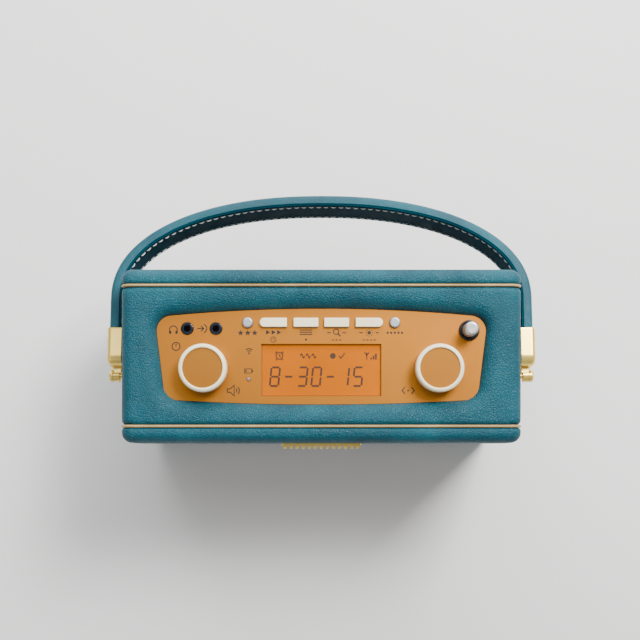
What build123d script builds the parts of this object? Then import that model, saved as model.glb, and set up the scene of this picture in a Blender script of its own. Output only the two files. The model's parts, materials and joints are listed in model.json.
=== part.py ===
"""A leather-covered portable radio with its controls in a well in the top and a swinging strap handle.

The case stands on four feet. Its front, with the speaker grille, faces -Y; +X is to the right seen from
the front. The origin is on the surface it stands on, under the middle of the overall footprint, which
takes in the handle folded down behind the case. Positions called y below are counted from the middle of
the case's depth, and level(), facing() and swing_plane add the shift to the origin.
"""

import os
from math import cos, pi, radians, sin

from build123d import *

os.makedirs("parts", exist_ok=True)

# Driving dimensions, in millimetres
case_width = 210.0
case_depth = 91.2
case_height = 122.0
foot_height = 3.0
edge_radius = 6.0
frame_edge_radius = 5.5
frame_depth = 8.0
piping_diameter = 1.4
skin = 1.2
board = 6.0
well_depth = 5.0
lip_width = 7.0
lip_radius = 6.2
fascia = 1.5
press_travel = 0.8

# Handle
strap_width = 22.0
strap_thickness = 5.0
lining_thickness = 1.2
arch_half_width = 115.0
arch_start = 41.0
arch_rise = 59.0
arch_power = 2.2
handle_droop = 9.0
pivot_depth = 30.0
pivot_y = -9.1

# Badge on the front
badge_width = 42.0
badge_height = 8.0
badge_depth = 3.1
badge_plate = 1.4

# Heights and distances that follow from the driving dimensions
case_top = foot_height + case_height
case_middle_z = foot_height + case_height / 2
half_width = case_width / 2
half_depth = case_depth / 2
shell_half_depth = half_depth - frame_depth - piping_diameter - 0.1
board_half_width = half_width - skin
board_top = case_top - skin
board_bottom = foot_height + skin
inner_half_width = board_half_width - board
inner_top = board_top - board
inner_bottom = board_bottom + board
panel_top = case_top - well_depth
panel_bottom = panel_top - fascia
tray_thickness = 2.0
tray_bottom = inner_top - tray_thickness
circuit_top = 105.6
circuit_thickness = 1.6
pivot_z = case_top - pivot_depth

# The handle folded back fixes the footprint, whose middle is the origin
droop = radians(handle_droop)
arch_reach = arch_start + arch_rise
handle_back = pivot_y + arch_reach * cos(droop) + strap_width / 2 * sin(droop)
badge_front = -half_depth - badge_depth
case_y = -(handle_back + badge_front) / 2
swing_plane = Plane(
    (0, case_y + pivot_y, pivot_z), x_dir=(1, 0, 0), z_dir=(0, sin(droop), cos(droop))
)

# Controls: x, y of each centre
knob_x, knob_y = 61.6, -6.6
knob_radius = 12.7
bushing_radius = 3.5
button_y = 17.7
button_height = 4.8
round_button_x = 38.7
round_button_radius = 2.8
jack_places = [(-70.5, 14.6), (-55.4, 14.6)]
jack_bore_radius = 1.8
jack_nozzle_radius = 3.3
aerial_x, aerial_y = 77.7, 13.6
light_x, light_y = -38.2, -12.0
light_radius = 1.1
display_width, display_height, display_y = 63.0, 27.3, -7.2

# Speaker and grille
speaker_z = 58.0
grille_width, grille_height, grille_z = 178.0, 87.0, 60.5
grille_corner = 12.0

# Back
back_width, back_height, back_corner = 186.0, 98.0, 10.0
rear_screw_rise = 72.0
ledge_width, ledge_depth = 7.0, 3.0
back_panel_front = half_depth - frame_depth + ledge_depth
back_panel_thickness = 2.2
back_panel_rear = back_panel_front + back_panel_thickness
door_half_width, door_bottom, door_top = 54.9, 26.9, 60.7
hinge_y, hinge_z = 43.4, 25.0
knuckle_radius, hinge_pin_radius = 1.6, 0.8

screw_shank_radius, screw_shank = 1.4, 4.6
bracket_screw_drops = (16.5, 23.5)
bracket_plate = 1.6

made = []


def level(z):
    """A horizontal plane at height z, over the middle of the case."""
    return Plane((0, case_y, z))


def facing(y):
    """An upright plane at depth y that faces the front: its own y is the height above the ground."""
    return Plane((0, case_y + y, 0), x_dir=(1, 0, 0), z_dir=(0, -1, 0))


def side_plane(x, outward):
    """An upright plane at x on the line of the handle's pivots, facing outward (1 or -1)."""
    return Plane((x, case_y + pivot_y, pivot_z), x_dir=(0, outward, 0), z_dir=(outward, 0, 0))


def keep(block, name):
    """Labels a finished piece and writes it."""
    block.part.label = name
    export_step(block.part, f"parts/{name}.step")
    made.append(name)


def panel_outline(plane, grow=0.0):
    """The control panel's outline: bowed long edges, slanted short edges and round corners."""
    with BuildSketch(plane) as outline:
        with BuildLine():
            back = ThreePointArc((-87.5, 20.6), (0, 25.0), (87.5, 20.6))
            front = ThreePointArc((82.2, -22.7), (0, -25.3), (-82.2, -22.7))
            Line(back @ 1, front @ 0)
            Line(front @ 1, back @ 0)
        make_face()
        corners = outline.vertices().group_by(Axis.Y)
        fillet(corners[-1], radius=8.0)
        fillet(corners[0], radius=9.0)
        if grow:
            offset(amount=grow)
    return outline.sketch


def button_outline(plane, width, round_end, grow=0.0):
    """A key top's outline. round_end is -1 or 1 for a half-round left or right end, 0 for a plain key."""
    with BuildSketch(plane) as outline:
        Rectangle(width, button_height)
        ends = outline.vertices().group_by(Axis.X)
        if round_end:
            fillet(ends[0 if round_end < 0 else -1], radius=button_height / 2 - 0.01)
            fillet(ends[-1 if round_end < 0 else 0], radius=0.5)
        else:
            fillet(outline.vertices(), radius=0.5)
        if grow:
            offset(amount=grow)
    return outline.sketch


# name, x of the centre, width and which end is round
keys = [
    ("mode_button", -25.2, 14.3, -1),
    ("menu_button", -8.05, 13.1, 0),
    ("scan_button", 8.05, 13.1, 0),
    ("dimmer_button", 25.2, 14.3, 1),
]


def control_openings(gap):
    """Cuts every control's opening into the sketch that is open, gap wider than the control."""
    with Locations(*jack_places):
        Circle(jack_nozzle_radius + gap, mode=Mode.SUBTRACT)
    with Locations((-round_button_x, button_y), (round_button_x, button_y)):
        Circle(round_button_radius + gap, mode=Mode.SUBTRACT)
    for _, x, width, round_end in keys:
        with Locations((x, button_y)):
            add(button_outline(Plane.XY, width, round_end, gap), mode=Mode.SUBTRACT)
    with Locations((light_x, light_y)):
        Circle(light_radius + gap, mode=Mode.SUBTRACT)


# ---------------------------------------------------------------- case

with BuildPart() as cabinet_cover:
    with BuildSketch(facing(0)):
        with Locations((0, case_middle_z)):
            RectangleRounded(case_width, case_height, edge_radius)
            RectangleRounded(
                case_width - 2 * skin, case_height - 2 * skin, edge_radius - skin, mode=Mode.SUBTRACT
            )
    extrude(amount=shell_half_depth, both=True)
    add(panel_outline(level(board_top - 1), lip_width))
    extrude(amount=skin + 2, mode=Mode.SUBTRACT)
    for outward in (-1, 1):
        with BuildSketch(side_plane(outward * (half_width - skin - 1), outward)):
            with Locations(*[(0, -drop) for drop in bracket_screw_drops]):
                Circle(screw_shank_radius + 0.05)
        extrude(amount=skin + 2, mode=Mode.SUBTRACT)
keep(cabinet_cover, "cabinet_cover")

with BuildPart() as cabinet_boards:
    with BuildSketch(facing(0)):
        with Locations((0, case_middle_z)):
            RectangleRounded(case_width - 2 * skin, case_height - 2 * skin, edge_radius - skin)
            Rectangle(2 * inner_half_width, inner_top - inner_bottom, mode=Mode.SUBTRACT)
    extrude(amount=shell_half_depth, both=True)
    add(panel_outline(level(inner_top - 1), lip_width))
    extrude(amount=board + 2, mode=Mode.SUBTRACT)
    for outward in (-1, 1):
        with BuildSketch(side_plane(outward * (board_half_width + 1), outward)):
            with Locations(*[(0, -drop) for drop in bracket_screw_drops]):
                Circle(screw_shank_radius + 0.05)
        extrude(amount=-screw_shank - 1, mode=Mode.SUBTRACT)
keep(cabinet_boards, "cabinet_boards")

with BuildPart() as recess_lip:
    add(panel_outline(level(inner_top), lip_width - 0.05))
    extrude(amount=case_top - inner_top)
    add(panel_outline(level(inner_top), 0.15))
    extrude(amount=case_top - inner_top, mode=Mode.SUBTRACT)
    top_face = recess_lip.faces().sort_by(Axis.Z)[-1]
    fillet(top_face.inner_wires()[0].edges(), radius=lip_radius)
keep(recess_lip, "recess_lip")

with BuildPart() as front_frame:
    with BuildSketch(facing(-half_depth + frame_depth)):
        with Locations((0, case_middle_z)):
            RectangleRounded(case_width, case_height, edge_radius)
    extrude(amount=frame_depth)
    fillet(front_frame.faces().sort_by(Axis.Y)[0].edges(), radius=frame_edge_radius)
    with BuildSketch(facing(-half_depth + frame_depth)):
        with Locations((0, grille_z)):
            RectangleRounded(grille_width, grille_height, grille_corner)
    extrude(amount=frame_depth, mode=Mode.SUBTRACT)
    fillet(front_frame.faces().sort_by(Axis.Y)[0].inner_wires()[0].edges(), radius=2.5)
keep(front_frame, "front_frame")

with BuildPart() as rear_frame:
    with BuildSketch(facing(half_depth - frame_depth)):
        with Locations((0, case_middle_z)):
            RectangleRounded(case_width, case_height, edge_radius)
    extrude(amount=-frame_depth)
    fillet(rear_frame.faces().sort_by(Axis.Y)[-1].edges(), radius=frame_edge_radius)
    with BuildSketch(facing(half_depth)):
        with Locations((0, case_middle_z)):
            RectangleRounded(back_width, back_height, back_corner)
    extrude(amount=half_depth - back_panel_front, mode=Mode.SUBTRACT)
    fillet(rear_frame.faces().sort_by(Axis.Y)[-1].inner_wires()[0].edges(), radius=1.5)
    with BuildSketch(facing(half_depth)):
        with Locations((0, case_middle_z)):
            RectangleRounded(back_width - 2 * ledge_width, back_height - 2 * ledge_width, 6)
    extrude(amount=frame_depth, mode=Mode.SUBTRACT)
    with BuildSketch(facing(half_depth)):
        with Locations((0, case_middle_z)):
            with GridLocations(back_width - ledge_width, rear_screw_rise, 2, 2):
                Circle(screw_shank_radius + 0.05)
    extrude(amount=frame_depth, mode=Mode.SUBTRACT)
keep(rear_frame, "rear_frame")

with BuildPart() as piping:
    piping_inset = 0.45
    piping_y = half_depth - frame_depth - piping_diameter / 2 - 0.05
    for y in (-piping_y, piping_y):
        with BuildLine(facing(y)) as seam:
            with BuildSketch(facing(y), mode=Mode.PRIVATE) as ring:
                with Locations((0, case_middle_z)):
                    RectangleRounded(
                        case_width - 2 * piping_inset,
                        case_height - 2 * piping_inset,
                        edge_radius - piping_inset,
                    )
            add(ring.sketch.face().outer_wire())
        start = seam.wire() @ 0
        with BuildSketch(Plane(start, z_dir=seam.wire() % 0)):
            Circle(piping_diameter / 2)
        sweep(path=seam.wire())
keep(piping, "piping")

with BuildPart() as feet:
    with BuildSketch(level(0)):
        with GridLocations(170, 58, 2, 2):
            Circle(7)
    extrude(amount=foot_height)
    fillet(feet.edges().group_by(Axis.Z)[0], radius=0.8)
keep(feet, "feet")

# ---------------------------------------------------------------- front: grille, badge, speaker

with BuildPart() as speaker_grille:
    rim = 1.0
    gap = 0.3
    grille_setback = 2.6
    hole_radius = 1.5
    plate_front = -half_depth + grille_setback
    with BuildSketch(facing(-half_depth + frame_depth)):
        with Locations((0, grille_z)):
            RectangleRounded(grille_width - 2 * gap, grille_height - 2 * gap, grille_corner - gap)
    extrude(amount=frame_depth - grille_setback)
    fillet(speaker_grille.faces().sort_by(Axis.Y)[0].edges(), radius=0.8)
    with BuildSketch(facing(-half_depth + frame_depth)):
        with Locations((0, grille_z)):
            RectangleRounded(
                grille_width - 2 * (gap + rim), grille_height - 2 * (gap + rim), grille_corner - gap - rim
            )
    extrude(amount=frame_depth - grille_setback - rim, mode=Mode.SUBTRACT)
    hole_pitch = 5.5
    with BuildSketch(facing(plate_front + 2 * rim)):
        with Locations((0, grille_z)):
            with GridLocations(hole_pitch, hole_pitch, 30, 14):
                Circle(hole_radius)
            with GridLocations(hole_pitch, hole_pitch, 29, 13):
                Circle(hole_radius)
    extrude(amount=3 * rim, mode=Mode.SUBTRACT)
keep(speaker_grille, "speaker_grille")

with BuildPart() as grille_cloth:
    with BuildSketch(facing(-half_depth + 4.1)):
        with Locations((0, grille_z)):
            RectangleRounded(grille_width - 3.4, grille_height - 3.4, grille_corner - 2)
    extrude(amount=0.4)
keep(grille_cloth, "grille_cloth")

with BuildPart() as baffle_board:
    baffle_height = 105.0
    with BuildSketch(facing(-32.5)):
        with Locations((0, inner_bottom + 0.1 + baffle_height / 2)):
            Rectangle(2 * inner_half_width - 0.2, baffle_height)
        with Locations((0, speaker_z)):
            Circle(36.2, mode=Mode.SUBTRACT)
    extrude(amount=5.0)
keep(baffle_board, "baffle_board")

with BuildPart() as front_badge:
    badge_z = 113.0
    with BuildSketch(facing(-half_depth)):
        with Locations((0, badge_z)):
            RectangleRounded(badge_width, badge_height, 1.5)
    extrude(amount=badge_plate)
    with BuildSketch(facing(-half_depth - badge_plate)):
        with Locations((0, badge_z)):
            with GridLocations(3.2, 1, 13, 1):
                Rectangle(1.9, badge_height - 1.6)
    extrude(amount=badge_depth - badge_plate)
    fillet(front_badge.faces().group_by(Axis.Y)[0].edges(), radius=0.5)
keep(front_badge, "front_badge")

speaker_plane = Plane((0, case_y, speaker_z), x_dir=(0, 1, 0), z_dir=(1, 0, 0))
speaker_axis = Axis((0, case_y, speaker_z), (0, 1, 0))

with BuildPart() as speaker_basket:
    with BuildSketch(speaker_plane):
        with BuildLine():
            Polyline(
                (-32.5, 36.4), (-32.5, 41.0), (-31.0, 41.0), (-31.0, 38.0), (-15.0, 25.6), (-13.0, 25.6),
                (-13.0, 10.6), (-14.5, 10.6), (-14.5, 24.0), (-15.7, 24.0), (-30.0, 36.4), close=True,
            )
        make_face()
    revolve(axis=speaker_axis)
    for turn in range(6):
        a = 2 * pi * (turn + 0.5) / 6
        window = Plane((0, case_y, speaker_z), x_dir=(0, 1, 0), z_dir=(cos(a), 0, sin(a)))
        with BuildSketch(window):
            with Locations((-22.5, 0)):
                RectangleRounded(10.5, 19, 3)
        extrude(amount=50, mode=Mode.SUBTRACT)
keep(speaker_basket, "speaker_basket")

with BuildPart() as speaker_magnet:
    with BuildSketch(speaker_plane):
        with BuildLine():
            Polyline(
                (-14.5, 0), (-14.5, 10.4), (-13.0, 10.4), (-13.0, 22.0), (-2.0, 22.0),
                (-2.0, 19.5), (1.0, 19.5), (1.0, 0), close=True,
            )
        make_face()
    revolve(axis=speaker_axis)
    fillet(speaker_magnet.edges().filter_by(GeomType.CIRCLE).group_by(Axis.Y)[-1], radius=1.0)
keep(speaker_magnet, "speaker_magnet")

with BuildPart() as speaker_cone:
    with BuildSketch(speaker_plane):
        with BuildLine():
            Line((-31.0, 30.7), (-17.8, 11.0))
            Line((-17.8, 11.0), (-21.4, 5.0))
            Line((-21.4, 5.0), (-22.0, 0))
            Line((-22.0, 0), (-21.2, 0))
            Line((-21.2, 0), (-20.7, 4.6))
            Line((-20.7, 4.6), (-16.8, 11.0))
            Line((-16.8, 11.0), (-30.4, 31.2))
            ThreePointArc((-30.4, 31.2), (-32.6, 33.2), (-30.4, 35.7))
            Line((-30.4, 35.7), (-31.0, 35.7))
            ThreePointArc((-31.0, 35.7), (-33.4, 33.2), (-31.0, 30.7))
        make_face()
    revolve(axis=speaker_axis)
keep(speaker_cone, "speaker_cone")

# ---------------------------------------------------------------- top: panel and what it carries

with BuildPart() as control_panel:
    with BuildSketch(level(panel_bottom)):
        add(panel_outline(Plane.XY))
        control_openings(0.15)
        with Locations((-knob_x, knob_y), (knob_x, knob_y)):
            Circle(bushing_radius + 0.2, mode=Mode.SUBTRACT)
        with Locations((aerial_x, aerial_y)):
            Circle(4.8, mode=Mode.SUBTRACT)
        with Locations((0, display_y)):
            Rectangle(display_width + 0.2, display_height + 0.2, mode=Mode.SUBTRACT)
    extrude(amount=fascia)
keep(control_panel, "control_panel")

with BuildPart() as panel_tray:
    window_width, window_height = 62.6, 27.0
    add(panel_outline(level(tray_bottom), lip_width + 2.4))
    extrude(amount=tray_thickness)
    add(panel_outline(level(inner_top)))
    extrude(amount=panel_bottom - inner_top)
    with BuildSketch(level(circuit_top)):
        with Locations((-46, 4), (46, 4), (-46, -20), (46, -20)):
            Circle(2.6)
    extrude(amount=tray_bottom - circuit_top)
    with BuildSketch(level(tray_bottom - 1)):
        Rectangle(400, 400)
        control_openings(0.25)
        with Locations((-knob_x, knob_y), (knob_x, knob_y)):
            Circle(bushing_radius + 0.2, mode=Mode.SUBTRACT)
        with Locations((aerial_x, aerial_y)):
            Circle(4.9, mode=Mode.SUBTRACT)
        with Locations((0, display_y)):
            Rectangle(window_width, window_height, mode=Mode.SUBTRACT)
    extrude(amount=1 + panel_bottom - tray_bottom, mode=Mode.INTERSECT)
keep(panel_tray, "panel_tray")

with BuildPart() as display_window:
    with BuildSketch(level(panel_bottom)):
        with Locations((0, display_y)):
            Rectangle(display_width, display_height)
    extrude(amount=fascia - 0.1)
keep(display_window, "display_window")

with BuildPart() as display_module:
    with BuildSketch(level(circuit_top)):
        with Locations((0, display_y)):
            Rectangle(66, 30)
    extrude(amount=tray_bottom - circuit_top)
    with BuildSketch(level(tray_bottom)):
        with Locations((0, display_y)):
            Rectangle(window_width - 0.2, window_height - 0.2)
    extrude(amount=panel_bottom - tray_bottom)
keep(display_module, "display_module")

with BuildPart() as low_battery_lamp:
    with BuildSketch(level(circuit_top)):
        with Locations((light_x, light_y)):
            Circle(light_radius)
    extrude(amount=panel_top + 0.5 - circuit_top)
    fillet(low_battery_lamp.edges().group_by(Axis.Z)[-1], radius=0.5)
keep(low_battery_lamp, "low_battery_lamp")

jack_body_height = 9.5
jack_top = panel_top + 0.6
plug_length = 14.0

for name, (jack_x, jack_y) in zip(("headphone_socket", "aux_socket"), jack_places):
    with BuildPart() as socket:
        with BuildSketch(level(circuit_top)):
            with Locations((jack_x, jack_y)):
                Rectangle(9, 11)
        extrude(amount=jack_body_height)
        with BuildSketch(level(circuit_top + jack_body_height)):
            with Locations((jack_x, jack_y)):
                Circle(jack_nozzle_radius)
        extrude(amount=jack_top - circuit_top - jack_body_height)
        fillet(socket.edges().group_by(Axis.Z)[-1], radius=0.4)
        with BuildSketch(level(jack_top)):
            with Locations((jack_x, jack_y)):
                Circle(jack_bore_radius)
        extrude(amount=-plug_length, mode=Mode.SUBTRACT)
    keep(socket, name)

# ---------------------------------------------------------------- keys and their switches

key_top = panel_top + 1.8
key_stem_radius = 1.2
key_flange_top = tray_bottom - 0.3
key_flange = 1.2
switch_height = 4.0
key_stem_bottom = circuit_top + 2.0

switch_places = [(x, button_y) for _, x, _, _ in keys]
switch_places += [(-round_button_x, button_y), (round_button_x, button_y)]

for name, x, width, round_end in keys:
    with BuildPart() as key:
        with BuildSketch(level(key_flange_top - key_flange)):
            with Locations((x, button_y)):
                Circle(key_stem_radius)
                Rectangle(width - 0.2, button_height + 1.4)
        extrude(amount=key_flange)
        with BuildSketch(level(key_flange_top)):
            with Locations((x, button_y)):
                add(button_outline(Plane.XY, width, round_end))
        extrude(amount=key_top - key_flange_top)
        fillet(key.faces().sort_by(Axis.Z)[-1].edges(), radius=0.45)
        with BuildSketch(level(key_stem_bottom)):
            with Locations((x, button_y)):
                Circle(key_stem_radius)
        extrude(amount=key_flange_top - key_flange - key_stem_bottom)
    keep(key, name)

for name, x in (("favourite_button", -round_button_x), ("info_button", round_button_x)):
    with BuildPart() as key:
        with BuildSketch(level(key_flange_top - key_flange)):
            with Locations((x, button_y)):
                Circle(round_button_radius + 0.9)
        extrude(amount=key_flange)
        with BuildSketch(level(key_flange_top)):
            with Locations((x, button_y)):
                Circle(round_button_radius)
        extrude(amount=key_top - key_flange_top)
        fillet(key.faces().sort_by(Axis.Z)[-1].edges(), radius=0.9)
        with BuildSketch(level(key_stem_bottom)):
            with Locations((x, button_y)):
                Circle(key_stem_radius)
        extrude(amount=key_flange_top - key_flange - key_stem_bottom)
    keep(key, name)

with BuildPart() as tact_switches:
    with BuildSketch(level(circuit_top)):
        with Locations(*switch_places):
            RectangleRounded(6.2, 6.2, 0.4)
    extrude(amount=switch_height)
    with BuildSketch(level(circuit_top + 1.0)):
        with Locations(*switch_places):
            Circle(key_stem_radius + 0.3)
    extrude(amount=switch_height, mode=Mode.SUBTRACT)
keep(tact_switches, "tact_switches")

# ---------------------------------------------------------------- knobs on rotary push encoders

rotor_radius, rotor_clearance = 2.5, 0.06
shaft_radius, shaft_flat = 1.5, 0.9
encoder_top = circuit_top + 6.5
bushing_top = panel_top + 0.4
knob_bottom = panel_top + press_travel + 0.5
knob_top = knob_bottom + 9.2
insert_radius, insert_recess, insert_thickness = 10.45, 0.9, 1.2
knob_wall, knob_web, hub_radius, hub_lift = 1.8, 4.0, 4.2, 1.0
shaft_bottom = circuit_top + 1.6
shaft_top = knob_top - 3.4
flange_bottom, flange_height, flange_radius = circuit_top + 2.4, 1.4, 4.0


def d_outline(radius, flat):
    """A D-shaped shaft section of the given radius with its flat on the +Y side."""
    with BuildSketch(Plane.XY) as outline:
        Circle(radius)
        with Locations((0, flat + radius)):
            Rectangle(4 * radius, 2 * radius, mode=Mode.SUBTRACT)
    return outline.sketch


for side, x in (("volume", -knob_x), ("tuning", knob_x)):
    with BuildPart() as encoder:
        with BuildSketch(level(circuit_top)):
            with Locations((x, knob_y)):
                RectangleRounded(12, 12, 0.6)
        extrude(amount=encoder_top - circuit_top)
        with BuildSketch(level(encoder_top)):
            with Locations((x, knob_y)):
                Circle(bushing_radius)
        extrude(amount=bushing_top - encoder_top)
        with BuildSketch(level(circuit_top + 0.5)):
            with Locations((x, knob_y)):
                Circle(rotor_radius + rotor_clearance)
        extrude(amount=bushing_top - circuit_top, mode=Mode.SUBTRACT)
        with BuildSketch(level(flange_bottom - 0.3)):
            with Locations((x, knob_y)):
                Circle(flange_radius + 0.3)
        extrude(amount=flange_height + 0.6, mode=Mode.SUBTRACT)
    keep(encoder, f"{side}_encoder_body")

    with BuildPart() as rotor:
        with BuildSketch(level(flange_bottom)):
            with Locations((x, knob_y)):
                Circle(rotor_radius)
        extrude(amount=bushing_top + 0.2 - flange_bottom)
        with BuildSketch(level(flange_bottom)):
            with Locations((x, knob_y)):
                Circle(flange_radius)
        extrude(amount=flange_height)
        with BuildSketch(level(flange_bottom - 1)):
            with Locations((x, knob_y)):
                add(d_outline(shaft_radius + 0.06, shaft_flat + 0.06))
        extrude(amount=bushing_top + 2 - flange_bottom, mode=Mode.SUBTRACT)
    keep(rotor, f"{side}_encoder_rotor")

    with BuildPart() as shaft:
        with BuildSketch(level(shaft_bottom)):
            with Locations((x, knob_y)):
                add(d_outline(shaft_radius, shaft_flat))
        extrude(amount=shaft_top - shaft_bottom)
    keep(shaft, f"{side}_encoder_shaft")

    with BuildPart() as knob:
        with BuildSketch(level(knob_bottom)):
            with Locations((x, knob_y)):
                Circle(knob_radius)
        extrude(amount=knob_top - knob_bottom)
        fillet(knob.edges().group_by(Axis.Z)[-1], radius=2.0)
        fillet(knob.edges().group_by(Axis.Z)[0], radius=0.6)
        with BuildSketch(level(knob_top)):
            with Locations((x, knob_y)):
                Circle(insert_radius)
        extrude(amount=-insert_recess - insert_thickness, mode=Mode.SUBTRACT)
        with BuildSketch(level(knob_bottom)):
            with Locations((x, knob_y)):
                Circle(knob_radius - knob_wall)
                Circle(hub_radius, mode=Mode.SUBTRACT)
        extrude(amount=knob_top - knob_bottom - knob_web, mode=Mode.SUBTRACT)
        with BuildSketch(level(knob_bottom)):
            with Locations((x, knob_y)):
                Circle(hub_radius + 0.3)
        extrude(amount=hub_lift, mode=Mode.SUBTRACT)
        with BuildSketch(level(knob_bottom)):
            with Locations((x, knob_y)):
                add(d_outline(shaft_radius, shaft_flat))
        extrude(amount=shaft_top - knob_bottom, mode=Mode.SUBTRACT)
    keep(knob, f"{side}_knob")

    with BuildPart() as insert:
        with BuildSketch(level(knob_top - insert_recess - insert_thickness)):
            with Locations((x, knob_y)):
                Circle(insert_radius)
        extrude(amount=insert_thickness)
    keep(insert, f"{side}_knob_insert")

with BuildPart() as control_board:
    with BuildSketch(level(circuit_top - circuit_thickness)):
        with Locations((0, -1)):
            RectangleRounded(168, 45, 3)
        with Locations((aerial_x, aerial_y)):
            Circle(5.2, mode=Mode.SUBTRACT)
    extrude(amount=circuit_thickness)
    with BuildSketch(level(circuit_top)):
        with Locations((-20, 6), (20, 6), (50, 12), (-22, -24.5)):
            Rectangle(8, 5)
    extrude(amount=-circuit_thickness - 2.2)
keep(control_board, "control_board")

# ---------------------------------------------------------------- telescopic aerial

bush_top = panel_top + 1.2
guide_radius, guide_bore = 4.1, 3.5
guide_bottom = inner_bottom + 1.0
section_radii = [(3.4, 3.05), (2.95, 2.6), (2.5, 2.15), (2.05, 1.5)]
section_bottom = guide_bottom + 3.0
section_top = bush_top - 0.6
aerial_tip_bottom = bush_top + 0.3
aerial_tip_top = panel_top + 12.3
tip_radius = 3.75
tip_socket = 6.0
bush_radius, bush_rim_radius, bush_bottom = 4.7, 5.4, tray_bottom - 3.0
guide_top = tray_bottom + 2.0

with BuildPart() as aerial_bush:
    with BuildSketch(level(bush_bottom)):
        with Locations((aerial_x, aerial_y)):
            Circle(bush_radius)
    extrude(amount=panel_top - bush_bottom)
    with BuildSketch(level(panel_top)):
        with Locations((aerial_x, aerial_y)):
            Circle(bush_rim_radius)
    extrude(amount=bush_top - panel_top)
    fillet(aerial_bush.edges().group_by(Axis.Z)[-1], radius=0.4)
    with BuildSketch(level(bush_bottom)):
        with Locations((aerial_x, aerial_y)):
            Circle(guide_bore)
    extrude(amount=bush_top - bush_bottom, mode=Mode.SUBTRACT)
    with BuildSketch(level(bush_bottom)):
        with Locations((aerial_x, aerial_y)):
            Circle(guide_radius + 0.02)
    extrude(amount=guide_top - bush_bottom, mode=Mode.SUBTRACT)
    with BuildSketch(level(bush_top - 0.9)):
        with Locations((aerial_x, aerial_y)):
            Circle(tip_radius + 0.6)
    extrude(amount=2, mode=Mode.SUBTRACT)
keep(aerial_bush, "aerial_bush")

with BuildPart() as aerial_guide_tube:
    with BuildSketch(level(guide_bottom)):
        with Locations((aerial_x, aerial_y)):
            Circle(guide_radius)
    extrude(amount=guide_top - guide_bottom)
    with BuildSketch(level(guide_bottom + 1.5)):
        with Locations((aerial_x, aerial_y)):
            Circle(guide_bore)
    extrude(amount=guide_top - guide_bottom, mode=Mode.SUBTRACT)
    with BuildSketch(level(inner_bottom)):
        with Locations((aerial_x, aerial_y)):
            Rectangle(14, 8)
    extrude(amount=guide_bottom - inner_bottom)
keep(aerial_guide_tube, "aerial_guide_tube")

for number, (outer, inner) in enumerate(section_radii, start=1):
    with BuildPart() as section:
        last = number == len(section_radii)
        with BuildSketch(level(section_bottom)):
            with Locations((aerial_x, aerial_y)):
                Circle(outer)
                if not last:
                    Circle(inner, mode=Mode.SUBTRACT)
        extrude(amount=(section_top if not last else aerial_tip_bottom) - section_bottom)
        if last:
            with BuildSketch(level(aerial_tip_bottom)):
                with Locations((aerial_x, aerial_y)):
                    Circle(inner)
            extrude(amount=tip_socket)
    keep(section, f"aerial_section_{number}")

with BuildPart() as aerial_tip:
    with BuildSketch(level(aerial_tip_bottom)):
        with Locations((aerial_x, aerial_y)):
            Circle(tip_radius)
    extrude(amount=aerial_tip_top - aerial_tip_bottom)
    fillet(aerial_tip.edges().group_by(Axis.Z)[-1], radius=1.3)
    with BuildSketch(level(aerial_tip_bottom)):
        with Locations((aerial_x, aerial_y)):
            Circle(section_radii[-1][1])
    extrude(amount=tip_socket, mode=Mode.SUBTRACT)
keep(aerial_tip, "aerial_tip")

# ---------------------------------------------------------------- handle

clip_start, clip_end = 4.2, 24.3
strap_end = 14.0
clip_wall = 0.8
clip_corner, clip_rounding = 5.0, 2.3
eye_radius, eye_bore_radius, pin_radius = 3.3, 1.55, 1.5
eye_inner, eye_outer = 108.9, 113.5
stop_reach = 1.0


def arch(inset, start):
    """Half of the strap's outline, inset from its outside: the straight run from v=start, then the arch."""
    across = arch_half_width - inset
    rise = arch_rise - inset
    steps = 18
    points = []
    for step in range(steps + 1):
        a = pi / 2 * step / steps
        points.append(
            (across * cos(a) ** (2 / arch_power), arch_start + rise * sin(a) ** (2 / arch_power))
        )
    points[-1] = (0, arch_start + rise)
    right = [(across, start)] + points[:1]
    return right, points


def arch_ring(plane, outside, inside, start):
    """The strap's section seen along its width, between two insets from the outer outline."""
    with BuildSketch(plane) as ring:
        with BuildLine():
            sides = []
            for inset in (outside, inside):
                ends, points = arch(inset, start)
                Line(ends[0], ends[1])
                mirrored = [(-x, v) for x, v in reversed(points[:-1])]
                Spline(*points, *mirrored, tangents=[(0, 1), (0, -1)])
                Line((-ends[1][0], ends[1][1]), (-ends[0][0], ends[0][1]))
                sides.append(ends[0])
            Line(sides[0], sides[1])
            Line((-sides[0][0], sides[0][1]), (-sides[1][0], sides[1][1]))
        make_face()
    return ring.sketch


sleeve_inner_x = arch_half_width - strap_thickness - lining_thickness - clip_wall
sleeve_outer_x = arch_half_width + clip_wall
clip_half = strap_width / 2 + 1.0
tongue_inner, tongue_outer = 109.4, 113.0
tongue_half, tongue_length = 3.0, 8.0
stop_half_angle = 14.7
swing_range = 198.0
groove_shadow = 165.0 - swing_range / 2
wedge_reach = 9.0
boss_outer = eye_inner - 0.3
pin_head_inner = eye_outer + 0.3
pin_head_outer = 116.0
rivet_radius = 1.0
rivet_places = [(19.0, -6.0), (19.0, 6.0)]


def along_handle(side, x):
    """An upright plane at side * x that swings with the handle: its own x runs along the strap."""
    start = swing_plane.from_local_coords(Vector(side * x, 0, 0))
    return Plane(start, x_dir=swing_plane.y_dir, z_dir=(side, 0, 0))


def wedge(plane, middle, half_angle, reach):
    """A wedge with its point on the pivot, half_angle degrees to each side of the direction middle."""
    low, high = radians(middle - half_angle), radians(middle + half_angle)
    with BuildSketch(plane) as outline:
        with BuildLine():
            Polyline(
                (0, 0),
                (reach * cos(low), reach * sin(low)),
                (2 * reach * cos(radians(middle)), 2 * reach * sin(radians(middle))),
                (reach * cos(high), reach * sin(high)),
                close=True,
            )
        make_face()
    return outline.sketch


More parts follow.
